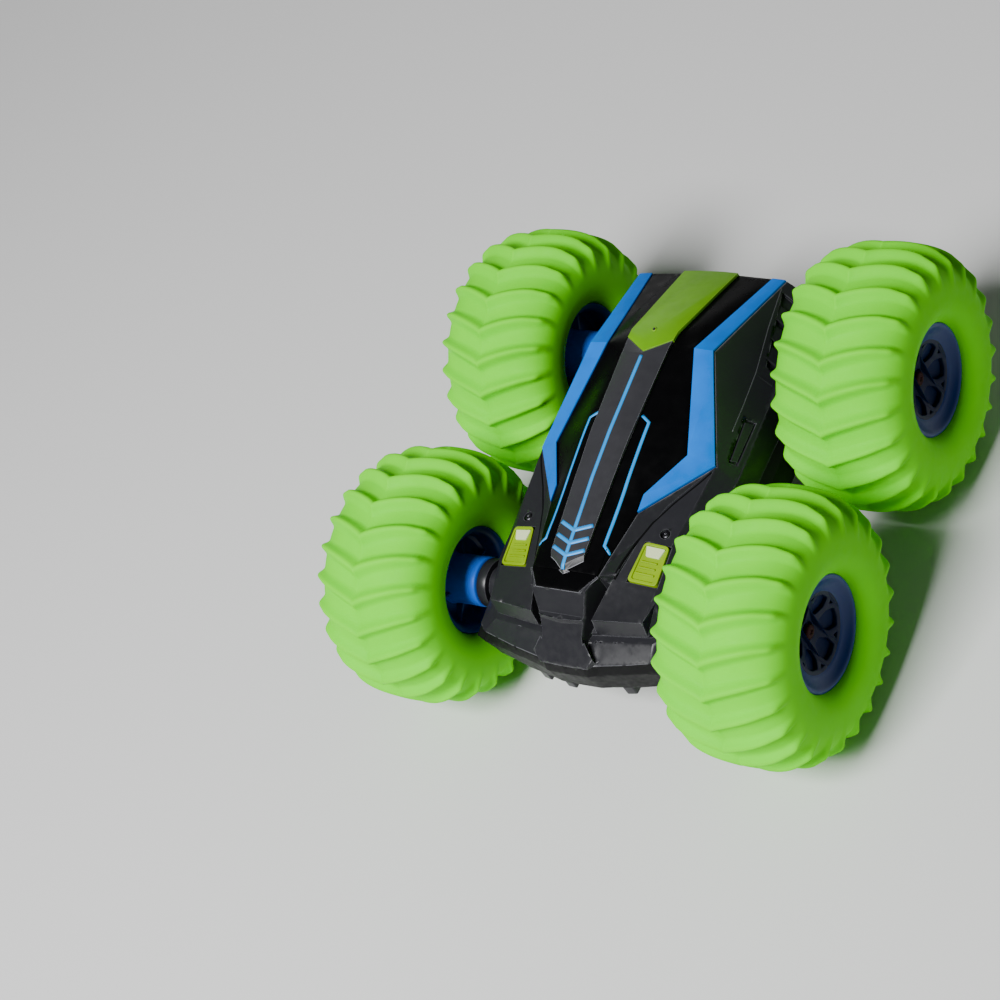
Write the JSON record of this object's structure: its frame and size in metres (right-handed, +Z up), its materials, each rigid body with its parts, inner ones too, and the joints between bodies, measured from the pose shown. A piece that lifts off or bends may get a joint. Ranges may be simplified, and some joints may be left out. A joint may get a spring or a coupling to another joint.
{
  "type": "rc stunt car",
  "caption": "Remote-control stunt car: a low wedge body between large hollow balloon tyres on geared axles, with a sliding battery cover and a power switch.",
  "frame": {"origin": "on the ground, under the middle of the car, with the car standing on its tyres", "axes": "+Z up, -Y towards the nose and +Y towards the tail, +X towards the car's own left; the axles run along X"},
  "size_m": [0.296, 0.305, 0.145],
  "materials": {
    "tyre_rubber": "satin moulded soft rubber, lime green",
    "rim_plastic": "satin navy moulded plastic",
    "shell_plastic": "satin charcoal moulded plastic",
    "hood_gloss": "piano black",
    "stripe_blue": "semi-gloss sky blue",
    "lamp_plastic": "semi-gloss yellow green",
    "lens_clear": "pale clear plastic",
    "steel": "bright steel",
    "black_plastic": "matt black",
    "gear_nylon": "natural nylon",
    "board_green": "green circuit board",
    "battery_wrap": "blue shrink wrap"
  },
  "bodies": {
    "body": {"upper_shell": "shell_plastic", "lower_shell": "shell_plastic", "hood_panel": "hood_gloss", "centre_ridge": "shell_plastic", "spine_plate": "lamp_plastic", "circuit_board": "board_green", "battery_pack": "battery_wrap", "power_switch_body": "black_plastic", "stripe_left": "stripe_blue", "lamp_cover_left": "lamp_plastic", "lamp_lens_left": "lens_clear", "lamp_led_left": "lens_clear", "lamp_screw_left": "steel", "belly_screw_left": "steel", "gearbox_plate_left": "black_plastic", "motor_left": "steel", "axle_collar_front_left": "shell_plastic", "axle_collar_rear_left": "shell_plastic", "stripe_right": "stripe_blue", "lamp_cover_right": "lamp_plastic", "lamp_lens_right": "lens_clear", "lamp_led_right": "lens_clear", "lamp_screw_right": "steel", "belly_screw_right": "steel", "gearbox_plate_right": "black_plastic", "motor_right": "steel", "axle_collar_front_right": "shell_plastic", "axle_collar_rear_right": "shell_plastic"},
    "wheel_front_left": {"tyre_front_left": "tyre_rubber", "rim_front_left": "rim_plastic", "axle_front_left": "steel", "wheel_screw_front_left": "steel", "axle_gear_front_left": "gear_nylon"},
    "idler_front_left": {"idler_gear_front_left": "gear_nylon"},
    "wheel_rear_left": {"tyre_rear_left": "tyre_rubber", "rim_rear_left": "rim_plastic", "axle_rear_left": "steel", "wheel_screw_rear_left": "steel", "axle_gear_rear_left": "gear_nylon"},
    "idler_rear_left": {"idler_gear_rear_left": "gear_nylon"},
    "centre_left": {"centre_gear_left": "gear_nylon"},
    "motor_shaft_left": {"pinion_left": "gear_nylon"},
    "wheel_front_right": {"tyre_front_right": "tyre_rubber", "rim_front_right": "rim_plastic", "axle_front_right": "steel", "wheel_screw_front_right": "steel", "axle_gear_front_right": "gear_nylon"},
    "idler_front_right": {"idler_gear_front_right": "gear_nylon"},
    "wheel_rear_right": {"tyre_rear_right": "tyre_rubber", "rim_rear_right": "rim_plastic", "axle_rear_right": "steel", "wheel_screw_rear_right": "steel", "axle_gear_rear_right": "gear_nylon"},
    "idler_rear_right": {"idler_gear_rear_right": "gear_nylon"},
    "centre_right": {"centre_gear_right": "gear_nylon"},
    "motor_shaft_right": {"pinion_right": "gear_nylon"},
    "battery_cover": {"battery_door": "shell_plastic", "battery_door_screw": "steel"},
    "power_switch": {"power_switch_knob": "black_plastic"}
  },
  "joints": [
    {"name": "wheel_spin_front_left", "type": "hinge", "parent": "body", "child": "wheel_front_left", "pos_m": [0.111, -0.08, 0.0725], "axis": [1, 0, 0], "continuous": true},
    {"name": "idler_spin_front_left", "type": "hinge", "parent": "body", "child": "idler_front_left", "pos_m": [0.0315, -0.04, 0.0725], "axis": [1, 0, 0], "continuous": true},
    {"name": "wheel_spin_rear_left", "type": "hinge", "parent": "body", "child": "wheel_rear_left", "pos_m": [0.111, 0.08, 0.0725], "axis": [1, 0, 0], "continuous": true},
    {"name": "idler_spin_rear_left", "type": "hinge", "parent": "body", "child": "idler_rear_left", "pos_m": [0.0315, 0.04, 0.0725], "axis": [1, 0, 0], "continuous": true},
    {"name": "centre_spin_left", "type": "hinge", "parent": "body", "child": "centre_left", "pos_m": [0.028, 0, 0.0725], "axis": [1, 0, 0], "continuous": true},
    {"name": "motor_spin_left", "type": "hinge", "parent": "body", "child": "motor_shaft_left", "pos_m": [0.022, -0.033, 0.0951], "axis": [1, 0, 0], "continuous": true},
    {"name": "wheel_spin_front_right", "type": "hinge", "parent": "body", "child": "wheel_front_right", "pos_m": [-0.111, -0.08, 0.0725], "axis": [1, 0, 0], "continuous": true},
    {"name": "idler_spin_front_right", "type": "hinge", "parent": "body", "child": "idler_front_right", "pos_m": [-0.0315, -0.04, 0.0725], "axis": [1, 0, 0], "continuous": true},
    {"name": "wheel_spin_rear_right", "type": "hinge", "parent": "body", "child": "wheel_rear_right", "pos_m": [-0.111, 0.08, 0.0725], "axis": [1, 0, 0], "continuous": true},
    {"name": "idler_spin_rear_right", "type": "hinge", "parent": "body", "child": "idler_rear_right", "pos_m": [-0.0315, 0.04, 0.0725], "axis": [1, 0, 0], "continuous": true},
    {"name": "centre_spin_right", "type": "hinge", "parent": "body", "child": "centre_right", "pos_m": [-0.028, 0, 0.0725], "axis": [1, 0, 0], "continuous": true},
    {"name": "motor_spin_right", "type": "hinge", "parent": "body", "child": "motor_shaft_right", "pos_m": [-0.022, 0.033, 0.0951], "axis": [1, 0, 0], "continuous": true},
    {"name": "battery_cover_slide", "type": "slide", "parent": "body", "child": "battery_cover", "axis": [0, 1, 0], "range_m": [0, 0.062]},
    {"name": "power_switch_slide", "type": "slide", "parent": "body", "child": "power_switch", "axis": [1, 0, 0], "range_m": [0, 0.0046]}
  ],
  "couplings": [
    {"joint": "idler_spin_front_left", "follows": "wheel_spin_front_left", "ratio": -0.6},
    {"joint": "centre_spin_left", "follows": "wheel_spin_front_left", "ratio": 1},
    {"joint": "idler_spin_rear_left", "follows": "wheel_spin_front_left", "ratio": -0.6},
    {"joint": "wheel_spin_rear_left", "follows": "wheel_spin_front_left", "ratio": 1},
    {"joint": "motor_spin_left", "follows": "wheel_spin_front_left", "ratio": -3},
    {"joint": "idler_spin_front_right", "follows": "wheel_spin_front_right", "ratio": -0.6},
    {"joint": "centre_spin_right", "follows": "wheel_spin_front_right", "ratio": 1},
    {"joint": "idler_spin_rear_right", "follows": "wheel_spin_front_right", "ratio": -0.6},
    {"joint": "wheel_spin_rear_right", "follows": "wheel_spin_front_right", "ratio": 1},
    {"joint": "motor_spin_right", "follows": "wheel_spin_front_right", "ratio": -3}
  ]
}
